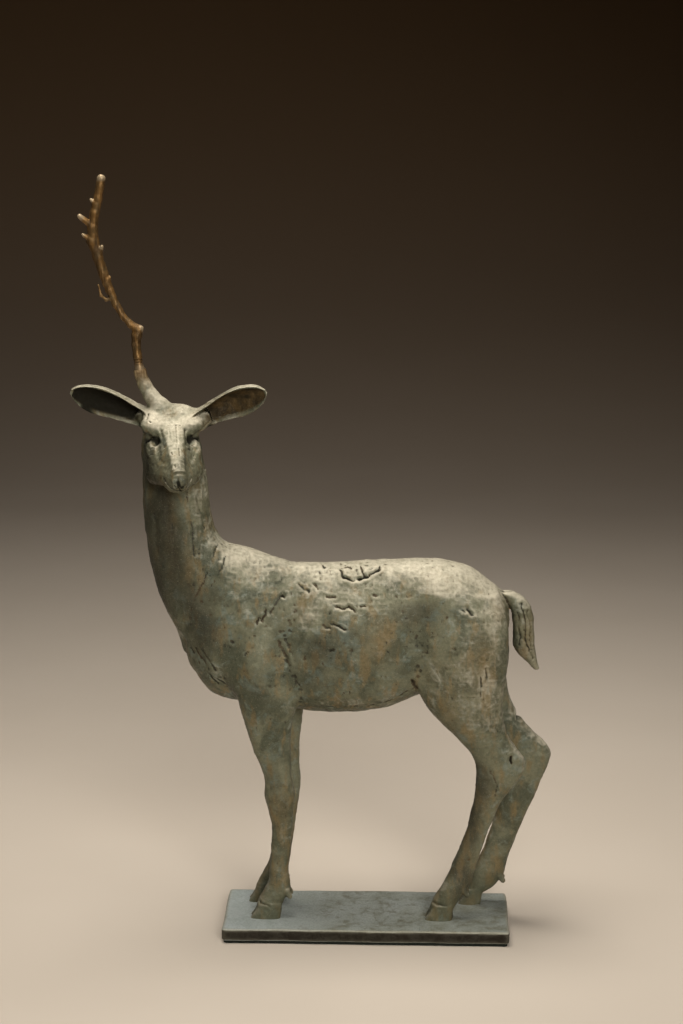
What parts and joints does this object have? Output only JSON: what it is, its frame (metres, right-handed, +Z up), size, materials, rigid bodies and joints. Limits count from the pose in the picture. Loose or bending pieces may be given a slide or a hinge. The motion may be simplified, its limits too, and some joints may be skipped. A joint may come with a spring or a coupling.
{
  "type": "bronze statuette",
  "caption": "Standing deer with one twig-like antler, cast in hollow and solid sections and bolted by its hooves to a thin plate with a felt pad.",
  "frame": {"origin": "centre of the underside of the felt pad, the face that the statuette rests on", "axes": "+Z up, -X the way the deer's body faces, -Y the deer's left side, towards which its head is turned"},
  "size_m": [0.4013, 0.1045, 0.6412],
  "materials": {
    "patina_bronze": "grey-green patina over cast bronze, matte",
    "antler_bronze": "warm golden-brown bronze, satin, rough bark texture",
    "base_bronze": "grey-green patina, browner on the edges, satin",
    "raw_bronze": "bare machined bronze",
    "steel_fastener": "zinc-plated steel",
    "felt": "dark green-black felt"
  },
  "bodies": {
    "root": {"base_plate": "base_bronze", "base_pad": "felt", "hoof_studs": "steel_fastener", "hoof_washers": "steel_fastener", "hoof_nuts": "steel_fastener", "front_left_leg": "patina_bronze", "front_right_leg": "patina_bronze", "hind_left_leg": "patina_bronze", "hind_right_leg": "patina_bronze", "leg_dowels": "raw_bronze", "tail": "patina_bronze", "tail_dowel": "raw_bronze", "core_plugs": "patina_bronze", "neck_joint_collar": "raw_bronze", "head_joint_collar": "raw_bronze", "torso_shell": "patina_bronze", "neck_shell": "patina_bronze", "head_shell": "patina_bronze", "left_ear": "patina_bronze", "right_ear": "patina_bronze", "ear_pins": "raw_bronze", "antler": "antler_bronze", "antler_pin": "raw_bronze"}
  },
  "joints": []
}
